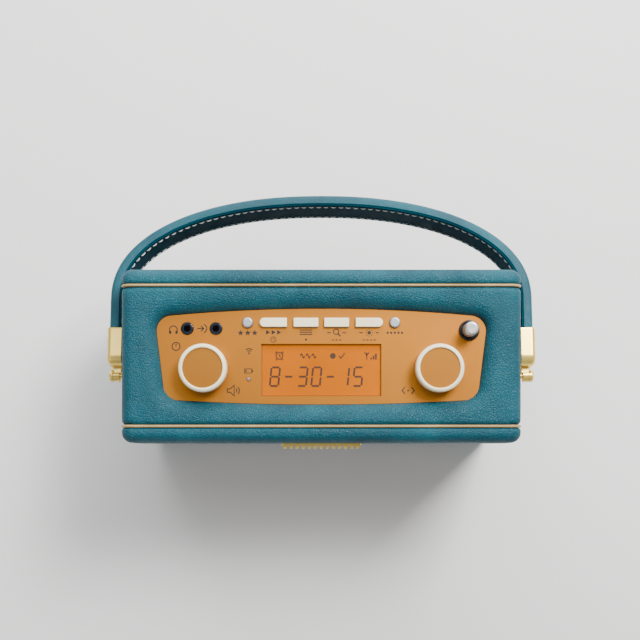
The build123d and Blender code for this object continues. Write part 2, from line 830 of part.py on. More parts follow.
with BuildPart() as handle_clips:
    for side in (-1, 1):
        with BuildSketch(along_handle(side, sleeve_inner_x)):
            with Locations((clip_start + clip_end / 2, 0)):
                RectangleRounded(clip_end, 2 * clip_half, clip_corner)
        extrude(amount=sleeve_outer_x - sleeve_inner_x)
    outer_faces = handle_clips.faces().filter_by(Axis.X).group_by(Axis.X)
    fillet(outer_faces[0].edges(), radius=clip_rounding)
    outer_faces = handle_clips.faces().filter_by(Axis.X).group_by(Axis.X)
    fillet(outer_faces[-1].edges(), radius=clip_rounding)
    for side in (-1, 1):
        with BuildSketch(along_handle(side, sleeve_inner_x - 1)):
            with Locations((clip_end + clip_end / 2, 0)):
                Rectangle(clip_end, 4 * clip_half)
        extrude(amount=sleeve_outer_x - sleeve_inner_x + 2, mode=Mode.SUBTRACT)
        with BuildSketch(along_handle(side, sleeve_inner_x + clip_wall)):
            with Locations((strap_end + clip_end / 2, 0)):
                Rectangle(clip_end, strap_width)
        extrude(amount=strap_thickness + lining_thickness, mode=Mode.SUBTRACT)
        with BuildSketch(along_handle(side, sleeve_inner_x)):
            with Locations(*rivet_places):
                Circle(rivet_radius)
        extrude(amount=sleeve_outer_x - sleeve_inner_x, mode=Mode.SUBTRACT)
        with BuildSketch(along_handle(side, tongue_inner)):
            with Locations((tongue_length / 2, 0)):
                Rectangle(tongue_length, 2 * tongue_half)
        extrude(amount=tongue_outer - tongue_inner)
        with BuildSketch(along_handle(side, eye_inner)):
            Circle(eye_radius)
        extrude(amount=eye_outer - eye_inner)
        with BuildSketch(along_handle(side, eye_inner)):
            Circle(eye_radius + 0.3)
            add(wedge(Plane.XY, 0, groove_shadow, wedge_reach), mode=Mode.SUBTRACT)
        extrude(amount=stop_reach + 0.3, mode=Mode.SUBTRACT)
        with BuildSketch(along_handle(side, eye_inner)):
            Circle(eye_bore_radius)
        extrude(amount=eye_outer - eye_inner, mode=Mode.SUBTRACT)
keep(handle_clips, "handle_clips")

with BuildPart() as handle_strap:
    strap_section = arch_ring(swing_plane, 0, strap_thickness, strap_end)
    extrude(strap_section, amount=strap_width / 2, both=True)
    for side in (-1, 1):
        with BuildSketch(along_handle(side, sleeve_inner_x)):
            with Locations(*rivet_places):
                Circle(rivet_radius)
        extrude(amount=sleeve_outer_x - sleeve_inner_x, mode=Mode.SUBTRACT)
keep(handle_strap, "handle_strap")

with BuildPart() as handle_lining:
    lining_section = arch_ring(
        swing_plane, strap_thickness, strap_thickness + lining_thickness, strap_end
    )
    extrude(lining_section, amount=strap_width / 2, both=True)
    for side in (-1, 1):
        with BuildSketch(along_handle(side, sleeve_inner_x)):
            with Locations(*rivet_places):
                Circle(rivet_radius)
        extrude(amount=sleeve_outer_x - sleeve_inner_x, mode=Mode.SUBTRACT)
keep(handle_lining, "handle_lining")

with BuildPart() as handle_rivets:
    for side in (-1, 1):
        with BuildSketch(along_handle(side, sleeve_outer_x)):
            with Locations(*rivet_places):
                Circle(rivet_radius + 0.7)
        extrude(amount=0.7)
    fillet(handle_rivets.faces().filter_by(Axis.X).edges(), radius=0.3)
    for side in (-1, 1):
        with BuildSketch(along_handle(side, sleeve_inner_x)):
            with Locations(*rivet_places):
                Circle(rivet_radius)
        extrude(amount=sleeve_outer_x - sleeve_inner_x)
keep(handle_rivets, "handle_rivets")

with BuildPart() as handle_brackets:
    plate_width, plate_above, plate_below = 7.0, 5.0, 28.0
    for side in (-1, 1):
        with BuildSketch(side_plane(side * half_width, side)):
            with Locations((0, (plate_above - plate_below) / 2)):
                RectangleRounded(plate_width, plate_above + plate_below, 3.4)
        extrude(amount=bracket_plate)
        with BuildSketch(side_plane(side * half_width, side)):
            Circle(eye_radius)
        extrude(amount=boss_outer - half_width)
        with BuildSketch(side_plane(side * boss_outer, side)):
            Circle(eye_radius - 0.2)
            Circle(pin_radius + 0.4, mode=Mode.SUBTRACT)
            add(wedge(Plane.XY, -90, stop_half_angle, wedge_reach), mode=Mode.INTERSECT)
        extrude(amount=stop_reach)
        with BuildSketch(side_plane(side * half_width, side)):
            Circle(pin_radius)
        extrude(amount=boss_outer - half_width, mode=Mode.SUBTRACT)
        with BuildSketch(side_plane(side * half_width, side)):
            with Locations(*[(0, -drop) for drop in bracket_screw_drops]):
                Circle(screw_shank_radius + 0.05)
        extrude(amount=bracket_plate, mode=Mode.SUBTRACT)
keep(handle_brackets, "handle_brackets")

with BuildPart() as handle_pins:
    for side in (-1, 1):
        with BuildSketch(side_plane(side * pin_head_inner, side)):
            Circle(eye_radius)
        extrude(amount=pin_head_outer - pin_head_inner)
    fillet(handle_pins.faces().group_by(Axis.X)[0].edges(), radius=1.3)
    fillet(handle_pins.faces().group_by(Axis.X)[-1].edges(), radius=1.3)
    for side in (-1, 1):
        with BuildSketch(side_plane(side * half_width, side)):
            Circle(pin_radius)
        extrude(amount=pin_head_inner - half_width)
keep(handle_pins, "handle_pins")

with BuildPart() as bracket_screws:
    for side in (-1, 1):
        head_seat = half_width + bracket_plate
        with BuildSketch(side_plane(side * head_seat, side)):
            with Locations(*[(0, -drop) for drop in bracket_screw_drops]):
                Circle(2.3)
        extrude(amount=1.0)
        with BuildSketch(side_plane(side * head_seat, side)):
            with Locations(*[(0, -drop) for drop in bracket_screw_drops]):
                Circle(screw_shank_radius)
        extrude(amount=-screw_shank)
keep(bracket_screws, "bracket_screws")

# ---------------------------------------------------------------- back

inlet_x, inlet_z, inlet_radius = -76.0, 40.0, 4.0
knuckle_x, opening_bottom = 48.0, hinge_z - knuckle_radius - 0.4
post_places = [(x, z) for x in (-62, 62) for z in (72, 97)]
main_board_front, main_board_rear = 22.0, 23.6

with BuildPart() as rear_panel:
    with BuildSketch(facing(back_panel_rear)):
        with Locations((0, case_middle_z)):
            RectangleRounded(back_width - 0.4, back_height - 0.4, back_corner - 0.2)
            with GridLocations(back_width - ledge_width, rear_screw_rise, 2, 2):
                Circle(screw_shank_radius + 0.05, mode=Mode.SUBTRACT)
        with Locations((0, (opening_bottom + door_top + 0.3) / 2)):
            Rectangle(2 * door_half_width + 0.6, door_top + 0.3 - opening_bottom, mode=Mode.SUBTRACT)
        with Locations((inlet_x, inlet_z)):
            Circle(inlet_radius, mode=Mode.SUBTRACT)
        with Locations((0, 86)):
            with GridLocations(6.5, 1, 13, 1):
                SlotOverall(16, 2.4, rotation=90, mode=Mode.SUBTRACT)
    extrude(amount=back_panel_thickness)
    with BuildSketch(facing(back_panel_front)):
        with Locations(*post_places):
            Circle(3)
    extrude(amount=back_panel_front - main_board_rear)
    for side in (-1, 1):
        hinge_end = Plane((side * (knuckle_x + 0.3), case_y + hinge_y, hinge_z), z_dir=(side, 0, 0))
        with BuildSketch(hinge_end):
            Circle(knuckle_radius)
        extrude(amount=door_half_width + 2 - knuckle_x)
        with BuildSketch(hinge_end):
            Circle(hinge_pin_radius)
        extrude(amount=-8)
keep(rear_panel, "rear_panel")

with BuildPart() as battery_door:
    with BuildSketch(facing(back_panel_rear)):
        with Locations((0, (door_bottom + door_top) / 2)):
            Rectangle(2 * door_half_width, door_top - door_bottom)
    extrude(amount=back_panel_thickness - 0.3)
    with BuildSketch(facing(back_panel_rear)):
        with Locations((0, door_top - 4)):
            with GridLocations(1, 2, 1, 3):
                Rectangle(26, 1)
    extrude(amount=-0.7)
    with BuildSketch(facing(back_panel_rear)):
        with Locations((0, (hinge_z + door_bottom + 1) / 2)):
            Rectangle(2 * knuckle_x, door_bottom + 1 - hinge_z)
    extrude(amount=1.0)
    with BuildSketch(Plane((-knuckle_x, case_y + hinge_y, hinge_z), z_dir=(1, 0, 0))):
        Circle(knuckle_radius)
    extrude(amount=2 * knuckle_x)
    with BuildSketch(Plane((-knuckle_x, case_y + hinge_y, hinge_z), z_dir=(1, 0, 0))):
        Circle(hinge_pin_radius + 0.05)
    extrude(amount=2 * knuckle_x, mode=Mode.SUBTRACT)
keep(battery_door, "battery_door")

cell_radius, cell_length, nub_length = 7.1, 48.8, 1.2
bay_wall, bay_front = 1.5, 24.5
bay_half_width, bay_bottom, bay_top = 56.6, 25.3, 62.3
cell_starts = (-50.4, 0.8)
cell_heights = (35.5, 52.1)
cell_y = bay_front + bay_wall + cell_radius
cell_room = cell_starts[1] + cell_length + nub_length
bay_middle_z = (bay_bottom + bay_top) / 2

with BuildPart() as battery_box:
    with BuildSketch(facing(back_panel_front)):
        with Locations((0, bay_middle_z)):
            Rectangle(2 * bay_half_width, bay_top - bay_bottom)
    extrude(amount=back_panel_front - bay_front)
    with BuildSketch(facing(back_panel_front)):
        with Locations((0, bay_middle_z)):
            Rectangle(2 * cell_room, bay_top - bay_bottom - 2 * bay_wall)
    extrude(amount=back_panel_front - bay_front - bay_wall, mode=Mode.SUBTRACT)
keep(battery_box, "battery_box")

with BuildPart() as battery_cells:
    for start in cell_starts:
        for z in cell_heights:
            with BuildSketch(Plane((start, case_y + cell_y, z), z_dir=(1, 0, 0))):
                Circle(cell_radius)
            extrude(amount=cell_length)
            with BuildSketch(Plane((start + cell_length, case_y + cell_y, z), z_dir=(1, 0, 0))):
                Circle(2.7)
            extrude(amount=nub_length)
keep(battery_cells, "battery_cells")

with BuildPart() as dc_socket:
    with BuildSketch(facing(back_panel_rear + 0.5)):
        with Locations((inlet_x, inlet_z)):
            Circle(inlet_radius)
    extrude(amount=12.5)
    with BuildSketch(facing(back_panel_rear + 0.5)):
        with Locations((inlet_x, inlet_z)):
            Circle(2.8)
            Circle(1.05, mode=Mode.SUBTRACT)
    extrude(amount=9, mode=Mode.SUBTRACT)
keep(dc_socket, "dc_socket")

with BuildPart() as main_board:
    with BuildSketch(facing(main_board_rear)):
        with Locations((0, 84)):
            Rectangle(136, 34)
    extrude(amount=main_board_rear - main_board_front)
    with BuildSketch(facing(main_board_front)):
        with Locations((-30, 84), (4, 88), (34, 80)):
            Rectangle(14, 14)
        with Locations((-52, 76), (52, 92)):
            Rectangle(6, 14)
    extrude(amount=2.2)
    with BuildSketch(facing(main_board_front)):
        with Locations((-52, 92), (-8, 75), (20, 94), (52, 75)):
            Circle(3.2)
    extrude(amount=8)
keep(main_board, "main_board")

with BuildPart() as rear_screws:
    with BuildSketch(facing(back_panel_rear)):
        with Locations((0, case_middle_z)):
            with GridLocations(back_width - ledge_width, rear_screw_rise, 2, 2):
                Circle(2.6)
    extrude(amount=-1.1)
    with BuildSketch(facing(back_panel_rear)):
        with Locations((0, case_middle_z)):
            with GridLocations(back_width - ledge_width, rear_screw_rise, 2, 2):
                Circle(screw_shank_radius)
    extrude(amount=screw_shank)
keep(rear_screws, "rear_screws")

print(len(made), "pieces; case_y", round(case_y, 4), "pivot", round(case_y + pivot_y, 4), pivot_z)
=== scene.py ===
"""The looks of a leather-covered portable radio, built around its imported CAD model."""

import json
import random
from math import cos, hypot, pi, radians, sin, sqrt, tan

import bmesh
import bpy
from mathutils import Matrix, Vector


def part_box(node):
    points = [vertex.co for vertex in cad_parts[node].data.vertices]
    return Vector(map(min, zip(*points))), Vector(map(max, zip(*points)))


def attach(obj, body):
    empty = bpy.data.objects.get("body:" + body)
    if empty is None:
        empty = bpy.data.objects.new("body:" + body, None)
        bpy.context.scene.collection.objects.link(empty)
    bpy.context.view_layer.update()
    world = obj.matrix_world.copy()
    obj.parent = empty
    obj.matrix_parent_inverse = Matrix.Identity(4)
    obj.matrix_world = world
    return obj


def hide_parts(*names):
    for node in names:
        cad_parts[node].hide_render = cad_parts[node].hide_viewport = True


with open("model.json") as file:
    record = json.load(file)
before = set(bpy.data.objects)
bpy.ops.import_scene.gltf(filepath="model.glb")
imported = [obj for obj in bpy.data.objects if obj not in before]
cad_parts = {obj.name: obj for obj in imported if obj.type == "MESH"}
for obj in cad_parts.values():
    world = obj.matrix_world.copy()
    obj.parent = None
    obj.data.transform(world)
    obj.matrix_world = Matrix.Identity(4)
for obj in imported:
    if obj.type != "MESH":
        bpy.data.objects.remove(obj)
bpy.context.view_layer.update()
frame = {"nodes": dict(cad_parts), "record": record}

MM = 0.001
random.seed(7)

cover_low, cover_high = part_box("cabinet_cover")
CASE_Y = (cover_low.y + cover_high.y) / 2
CASE_TOP = 125.0
CASE_BOTTOM = 3.0
CASE_MIDDLE = (CASE_TOP + CASE_BOTTOM) / 2
CASE_WIDTH, CASE_HEIGHT = 210.0, CASE_TOP - CASE_BOTTOM
CORNER = 6.0
PANEL_TOP = 120.0


def P(x, y, z):
    """A point given in millimetres, with y from the middle of the case's depth."""
    return Vector((x * MM, CASE_Y + y * MM, z * MM))


# ---------------------------------------------------------------- materials


class Nodes:
    """A material's node tree, with one-line helpers to add and join its nodes."""

    def __init__(self, name):
        self.material = bpy.data.materials.new(name)
        self.material.use_nodes = True
        self.tree = self.material.node_tree
        self.shader = self.tree.nodes["Principled BSDF"]
        self.coords = self.tree.nodes.new("ShaderNodeTexCoord").outputs["Object"]

    def add(self, kind, inputs=None, **settings):
        node = self.tree.nodes.new(kind)
        for key, value in settings.items():
            setattr(node, key, value)
        for key, value in (inputs or {}).items():
            if isinstance(value, bpy.types.NodeSocket):
                self.tree.links.new(value, node.inputs[key])
            else:
                node.inputs[key].default_value = value
        return node

    def link(self, output, name):
        self.tree.links.new(output, self.shader.inputs[name])

    def noise(self, scale, detail=4.0, rough=0.55, vector=None):
        inputs = {"Vector": vector or self.coords, "Scale": scale, "Detail": detail, "Roughness": rough}
        return self.add("ShaderNodeTexNoise", inputs).outputs["Fac"]

    def stretched(self, sx, sy, sz):
        inputs = {"Vector": self.coords, "Scale": (sx, sy, sz)}
        return self.add("ShaderNodeMapping", inputs).outputs["Vector"]

    def ramp(self, fac, *stops):
        node = self.add("ShaderNodeValToRGB", {"Fac": fac})
        band = node.color_ramp
        while len(band.elements) < len(stops):
            band.elements.new(0.5)
        for element, (place, colour) in zip(band.elements, stops):
            element.position = place
            element.color = (*colour, 1.0)
        return node.outputs["Color"]

    def scale_range(self, value, low, high, start=0.0, end=1.0):
        inputs = {"Value": value, "From Min": start, "From Max": end, "To Min": low, "To Max": high}
        return self.add("ShaderNodeMapRange", inputs).outputs["Result"]

    def mix(self, fac, a, b):
        node = self.add("ShaderNodeMix", data_type="RGBA")
        for index, value in ((0, fac), (6, a), (7, b)):
            if isinstance(value, bpy.types.NodeSocket):
                self.tree.links.new(value, node.inputs[index])
            else:
                node.inputs[index].default_value = value if index == 0 else (*value, 1.0)
        return node.outputs[2]

    def bump(self, height, strength, distance, below=None):
        inputs = {"Height": height, "Strength": strength, "Distance": distance}
        if below is not None:
            inputs["Normal"] = below
        return self.add("ShaderNodeBump", inputs).outputs["Normal"]

    def set(self, **values):
        for key, value in values.items():
            self.shader.inputs[key.replace("_", " ")].default_value = value


def leather(name, dark, base, light, cell=780.0, depth=1.0, gloss=0.50, shine=0.30):
    """Grained leather: fine uneven pebbles between creases, with painted shade darkening the creases, mottled
    colour and lighter rubbed patches.
    """
    n = Nodes(name)
    wobble = n.add("ShaderNodeTexNoise", {"Vector": n.coords, "Scale": 420.0, "Detail": 2.0})
    shift = {0: 0.0016, 4: n.coords, 5: wobble.outputs["Color"]}
    bent = n.add("ShaderNodeMix", shift, data_type="VECTOR").outputs[1]
    large = {"Vector": bent, "Scale": cell, "Randomness": 0.95}
    cells = n.add("ShaderNodeTexVoronoi", large, feature="DISTANCE_TO_EDGE").outputs["Distance"]
    fine = {"Vector": bent, "Scale": cell * 2.3, "Randomness": 1.0}
    small = n.add("ShaderNodeTexVoronoi", fine).outputs["Distance"]
    crease = n.scale_range(cells, 0.0, 1.0, 0.0, 0.20)
    mottle = n.noise(38.0, 5.0, 0.6)
    worn = n.noise(14.0, 6.0, 0.65)
    colour = n.ramp(mottle, (0.3, dark), (0.52, base), (0.75, light))
    colour = n.mix(n.scale_range(worn, 0.0, 0.35, 0.52, 0.8), colour, light)
    # painted shade: the creases between the pebbles are darkened in colour, on top of their bump
    crease_shade_colour = n.ramp(crease, (0.0, tuple(0.72 * c for c in dark)), (0.5, base), (1.0, base))
    colour = n.mix(n.scale_range(crease, 0.38, 0.0), colour, crease_shade_colour)
    n.link(colour, "Base Color")
    n.link(n.scale_range(n.noise(90.0, 3.0), gloss - 0.06, gloss + 0.1), "Roughness")
    pebbles = n.bump(crease, 0.60 * depth, 0.00032)
    grains = n.bump(small, 0.16 * depth, 0.00014, pebbles)
    grains = n.bump(n.noise(75.0, 2.0), 0.22 * depth, 0.0009, grains)
    n.link(n.bump(worn, 0.10 * depth, 0.0012, grains), "Normal")
    n.set(Specular_IOR_Level=shine)
    return n.material


def paint(name, dark, light, scale, rough, grain, strength, metallic=0.0, stretch=None):
    """Plastic, rubber, painted or plated metal: softly uneven colour and gloss over a fine surface grain."""
    n = Nodes(name)
    vector = n.stretched(*stretch) if stretch else None
    n.link(n.ramp(n.noise(scale, 4.0, vector=vector), (0.3, dark), (0.7, light)), "Base Color")
    n.link(n.scale_range(n.noise(scale * 3.0, 3.0, vector=vector), *rough), "Roughness")
    n.link(n.bump(n.noise(grain, 3.0, vector=vector), strength, 0.0001), "Normal")
    n.set(Metallic=metallic)
    return n.material


TEAL = [(0.0006, 0.054, 0.080), (0.0013, 0.077, 0.110), (0.006, 0.120, 0.160)]
teal_leather = leather("teal_leather", *TEAL)
handle_leather = leather("handle_leather", *TEAL, cell=1100.0, depth=0.6, gloss=0.40)
lining_leather = leather(
    "lining_leather",
    (0.0, 0.034, 0.054),
    (0.0, 0.046, 0.072),
    (0.0, 0.062, 0.094),
    cell=1300.0,
    depth=0.5,
    gloss=0.6,
    shine=0.08,
)
piping_leather = leather(
    "piping_leather",
    (0.30, 0.20, 0.08),
    (0.42, 0.29, 0.13),
    (0.56, 0.41, 0.22),
    cell=1800.0,
    depth=0.5,
    gloss=0.34,
)
thread = paint("thread", (0.62, 0.66, 0.64), (0.85, 0.88, 0.86), 900.0, (0.6, 0.8), 3000.0, 0.4)
copper = paint(
    "copper_lacquer", (0.45, 0.160, 0.012), (0.49, 0.184, 0.017),
    18.0, (0.40, 0.46), 2600.0, 0.10, 0.75,
)
copper_disc = paint(
    "copper_disc", (0.40, 0.150, 0.014), (0.44, 0.172, 0.019),
    26.0, (0.38, 0.44), 2600.0, 0.08, metallic=0.7,
)
cream = paint("cream_plastic", (1.0, 0.88, 0.58), (1.0, 0.94, 0.68), 60.0, (0.26, 0.34), 1500.0, 0.03)
silver = paint(
    "silver_keys", (0.42, 0.45, 0.50), (0.52, 0.55, 0.60),
    200.0, (0.30, 0.40), 2500.0, 0.10, metallic=0.7,
)
brass = paint(
    "polished_brass", (1.0, 0.66, 0.13), (1.0, 0.78, 0.22),
    40.0, (0.20, 0.30), 900.0, 0.03, metallic=0.6,
)
chrome = paint(
    "bright_chrome", (0.70, 0.71, 0.74), (0.84, 0.85, 0.87),
    90.0, (0.08, 0.20), 2000.0, 0.03, metallic=1.0,
)
dark_chrome = paint(
    "dark_chrome", (0.012, 0.012, 0.014), (0.030, 0.030, 0.033),
    90.0, (0.15, 0.25), 2000.0, 0.03, metallic=0.5,
)
satin_tip = paint(
    "satin_tip", (0.40, 0.41, 0.42), (0.62, 0.63, 0.64),
    700.0, (0.30, 0.42), 1500.0, 0.35, metallic=0.8,
)
champagne = paint(
    "champagne_metal", (0.60, 0.45, 0.26), (0.70, 0.55, 0.34),
    30.0, (0.26, 0.36), 1800.0, 0.05, metallic=0.85,
)
zinc = paint(
    "zinc_plate", (0.45, 0.45, 0.44), (0.58, 0.58, 0.56),
    70.0, (0.28, 0.42), 1200.0, 0.05, metallic=1.0,
)
ferrite = paint("ferrite", (0.03, 0.03, 0.032), (0.06, 0.06, 0.062), 80.0, (0.5, 0.7), 900.0, 0.2)
black = paint("black_plastic", (0.012, 0.012, 0.013), (0.022, 0.022, 0.024), 60.0, (0.45, 0.6), 1400.0, 0.35)
tray_brown = paint("tray_brown", (0.22, 0.085, 0.012), (0.28, 0.110, 0.018), 60.0, (0.45, 0.6), 1400.0, 0.2)
gloss_black = paint(
    "socket_plastic", (0.004, 0.006, 0.012), (0.010, 0.013, 0.022),
    90.0, (0.10, 0.2), 1200.0, 0.03,
)
rubber = paint("foot_rubber", (0.010, 0.010, 0.010), (0.022, 0.022, 0.021), 60.0, (0.7, 0.9), 1400.0, 0.4)
cone_paper = paint(
    "cone_paper", (0.010, 0.010, 0.010), (0.028, 0.027, 0.026),
    160.0, (0.8, 0.95), 1600.0, 0.6,
)
cloth = paint("grille_weave", (0.006, 0.006, 0.006), (0.030, 0.030, 0.030), 1500.0, (0.8, 0.95), 2200.0, 0.8)
wood = paint(
    "case_board", (0.36, 0.24, 0.13), (0.52, 0.37, 0.22),
    60.0, (0.6, 0.8), 500.0, 0.4, stretch=(1.0, 0.15, 1.0),
)
circuit = paint(
    "circuit_board", (0.004, 0.060, 0.022), (0.010, 0.100, 0.040),
    200.0, (0.3, 0.5), 900.0, 0.15,
)
cells = paint("cell_wrap", (0.012, 0.055, 0.20), (0.020, 0.075, 0.26), 60.0, (0.25, 0.4), 900.0, 0.05)
ink = paint("print_ink", (0.010, 0.004, 0.002), (0.018, 0.008, 0.004), 300.0, (0.5, 0.65), 2000.0, 0.05)
segment_ink = paint(
    "segment_ink", (0.006, 0.003, 0.001), (0.012, 0.006, 0.002),
    300.0, (0.4, 0.5), 2000.0, 0.02,
)
lamp = paint("lamp_lens", (0.20, 0.13, 0.10), (0.28, 0.19, 0.15), 400.0, (0.2, 0.3), 1500.0, 0.03)


def lit_display():
    """An amber backlight behind frosted plastic, unevenly bright in soft clouds."""
    n = Nodes("amber_display")
    cloud = n.noise(22.0, 3.0)
    colour = n.ramp(cloud, (0.3, (0.44, 0.106, 0.0)), (0.5, (0.49, 0.124, 0.0)), (0.75, (0.55, 0.150, 0.0)))
    n.link(colour, "Base Color")
    n.link(colour, "Emission Color")
    n.link(n.scale_range(n.noise(120.0), 0.35, 0.45), "Roughness")
    n.set(Emission_Strength=0.08, Specular_IOR_Level=0.02)
    return n.material


def clear_window():
    """A nearly clear pane."""
    n = Nodes("clear_window")
    n.link(n.ramp(n.noise(60.0), (0.3, (0.80, 0.25, 0.02)), (0.7, (0.88, 0.30, 0.03))), "Base Color")
    n.link(n.scale_range(n.noise(90.0), 0.04, 0.09), "Roughness")
    n.set(Alpha=0.04, Specular_IOR_Level=0.2)
    return n.material


amber = lit_display()
window = clear_window()

slot_materials = {
    "leather": teal_leather,
    "dark_leather": lining_leather,
    "board": wood,
    "piping": piping_leather,
    "rubber": rubber,
    "grille": champagne,
    "cloth": cloth,
    "brass": brass,
    "steel": zinc,
    "magnet": ferrite,
    "paper": cone_paper,
    "copper": copper,
    "black_plastic": black,
    "window": window,
    "display": amber,
    "lamp": lamp,
    "socket": gloss_black,
    "cream": cream,
    "chrome": chrome,
    "zinc": zinc,
    "circuit": circuit,
    "cells": cells,
}
node_materials = {"favourite_button": silver, "info_button": silver, "panel_tray": tray_brown}
node_materials.update({"aerial_bush": dark_chrome, "aerial_tip": satin_tip})
node_materials.update({"volume_knob_insert": copper_disc, "tuning_knob_insert": copper_disc})
for entry in frame["record"]["subparts"]:
    node = frame["nodes"][entry["node"]]
    node.data.materials.clear()
    node.data.materials.append(node_materials.get(entry["node"]) or slot_materials[entry["material_slot"]])

# ---------------------------------------------------------------- mesh helpers


def piece(name, points, faces, material, body, smooth=True, replaces=()):
    """A mesh object from points in the row frame, in metres, that rides on a body."""
    mesh = bpy.data.meshes.new(name)
    mesh.from_pydata([tuple(p) for p in points], [], faces)
    mesh.validate()
    mesh.materials.append(material)
    mesh.polygons.foreach_set("use_smooth", [smooth] * len(mesh.polygons))
    obj = bpy.data.objects.new(name, mesh)
    bpy.context.scene.collection.objects.link(obj)
    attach(obj, body)
    if replaces:
        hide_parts(*replaces)
    return obj


def apply(obj, kind, **settings):
    """Adds a modifier and applies it to the mesh."""
    modifier = obj.modifiers.new("m", kind)
    for key, value in settings.items():
        setattr(modifier, key, value)
    with bpy.context.temp_override(object=obj, active_object=obj, selected_objects=[obj]):
        bpy.ops.object.modifier_apply(modifier=modifier.name)


def tidy_mesh(obj, merge=0.00001):
    """Joins coincident vertices and points every face outward."""
    bm = bmesh.new()
    bm.from_mesh(obj.data)
    bmesh.ops.remove_doubles(bm, verts=bm.verts, dist=merge)
    bmesh.ops.recalc_face_normals(bm, faces=bm.faces)
    bm.to_mesh(obj.data)
    bm.free()


def loft(rings, closed=True, wrap=False):
    """Faces between rings of equally many points.

    closed joins each ring's ends, and wrap joins the last ring to the first.
    """
    count = len(rings[0])
    points = [p for ring in rings for p in ring]
    faces = []
    spans = len(rings) if wrap else len(rings) - 1
    for r in range(spans):
        low, high = r * count, ((r + 1) % len(rings)) * count
        for i in range(count if closed else count - 1):
            j = (i + 1) % count
            faces.append((low + i, low + j, high + j, high + i))
    return points, faces


def rounded_rect(width, height, middle, radius, along=40, up=26, corner=8):
    """Points (x, z) round a rounded rectangle, counterclockwise from the right side's bottom."""
    points = []
    half_x, half_z = width / 2 - radius, height / 2 - radius
    corners = [(half_x, half_z, 0), (-half_x, half_z, 90), (-half_x, -half_z, 180), (half_x, -half_z, 270)]
    for number, (cx, cz, start) in enumerate(corners):
        for step in range(corner + 1):
            a = radians(start + 90 * step / corner)
            points.append((cx + radius * cos(a), middle + cz + radius * sin(a)))
        nx, nz, nstart = corners[(number + 1) % 4]
        a = radians(nstart)
        last, following = points[-1], (nx + radius * cos(a), middle + nz + radius * sin(a))
        steps = along if number % 2 == 0 else up
        for step in range(1, steps):
            f = step / steps
            points.append((last[0] + (following[0] - last[0]) * f, last[1] + (following[1] - last[1]) * f))
    return points


def between(a, b, f):
    """A ring at the fraction f of the way from ring a to ring b."""
    return [(p[0] + (q[0] - p[0]) * f, p[1] + (q[1] - p[1]) * f) for p, q in zip(a, b)]


def case_ring(inset):
    """The case's outline seen from the front, drawn in by inset."""
    radius = max(CORNER - inset, 0.6)
    return rounded_rect(CASE_WIDTH - 2 * inset, CASE_HEIGHT - 2 * inset, CASE_MIDDLE, radius)


# ---------------------------------------------------------------- padded frames at the front and back


def padded_frame(name, facing, opening, deep, node):
    """A padded leather frame round an opening, given as its width, height, middle and corner radius.

    facing is -1 for the front and 1 for the back. deep is how far the leather turns into the opening.
    """
    width, height, middle, radius = opening
    outer_round, inner_round = 5.6, 2.6 if facing < 0 else 1.8
    face_y, seam_y = 45.6, 37.6
    proud, swell, hem = 0.05, 0.35, 1.2
    tuck = [(0.0, 2.0), (0.05, 1.2), (0.35, 0.55), (0.9, 0.15), (1.7, -proud)]
    rings = [(seam_y + out, case_ring(inset)) for out, inset in tuck]
    for step in range(1, 9):
        a = radians(90 * step / 8)
        y = face_y - outer_round + outer_round * sin(a)
        rings.append((y, case_ring(outer_round - (outer_round + proud) * cos(a))))
    edge = case_ring(outer_round)
    grown = rounded_rect(width + 2 * inner_round, height + 2 * inner_round, middle, radius + inner_round)
    for step in range(1, 8):
        f = step / 8
        rings.append((face_y + swell * sin(pi * f), between(edge, grown, f)))
    for step in range(0, 7):
        a = radians(90 * step / 6)
        inset = inner_round * (1 - sin(a))
        ring = rounded_rect(width + 2 * inset, height + 2 * inset, middle, radius + inset)
        rings.append((face_y - inner_round * (1 - cos(a)), ring))
    inner = rounded_rect(width, height, middle, radius)
    rings.append((face_y - deep, inner))
    back = rounded_rect(width + 2 * hem, height + 2 * hem, middle, radius + hem)
    rings.append((face_y - deep, back))
    rings.append((seam_y, between(back, case_ring(2.0), 0.5)))
    placed = [[P(x, facing * y, z) for x, z in ring] for y, ring in rings]
    points, faces = loft(placed, wrap=True)
    obj = piece(name, points, faces, teal_leather, "case", replaces=(node,))
    tidy_mesh(obj)


padded_frame("front_roll", -1, (178.0, 87.0, 60.5, 12.0), 7.9, "front_frame")
padded_frame("rear_roll", 1, (186.0, 98.0, 64.0, 10.0), 4.8, "rear_frame")

# ---------------------------------------------------------------- leather wrap with the recess in its top

SEAM = (cover_high.y - cover_low.y) / 2 / MM


def seam_dip(y):
    """How far the leather is drawn in at a depth y, next to the piping."""
    deepest, reach = 1.3, 2.6
    from_seam = max(0.0, SEAM - abs(y))
    return deepest * max(0.0, 1 - from_seam / reach) ** 2.2


def arc_through(a, b, c, count):
    """Points on the circle through three points, from the first to the last."""
    (ax, ay), (bx, by), (cx, cy) = a, b, c
    d = 2 * (ax * (by - cy) + bx * (cy - ay) + cx * (ay - by))
    ux = ((ax**2 + ay**2) * (by - cy) + (bx**2 + by**2) * (cy - ay) + (cx**2 + cy**2) * (ay - by)) / d
    uy = ((ax**2 + ay**2) * (cx - bx) + (bx**2 + by**2) * (ax - cx) + (cx**2 + cy**2) * (bx - ax)) / d
    radius = hypot(ax - ux, ay - uy)
    points = []
    for step in range(count + 1):
        x = ax + (cx - ax) * step / count
        y = uy + (1 if by > uy else -1) * sqrt(radius**2 - (x - ux) ** 2)
        points.append((x, y))
    return points


# The panel's corners on the right before they are rounded, the middles of its bowed sides, and its radii.
PANEL_FRONT, PANEL_BACK = (82.2, -22.7), (87.5, 20.6)
FRONT_BOW, BACK_BOW = -25.3, 25.0
FRONT_CORNER, BACK_CORNER = 9.0, 8.0


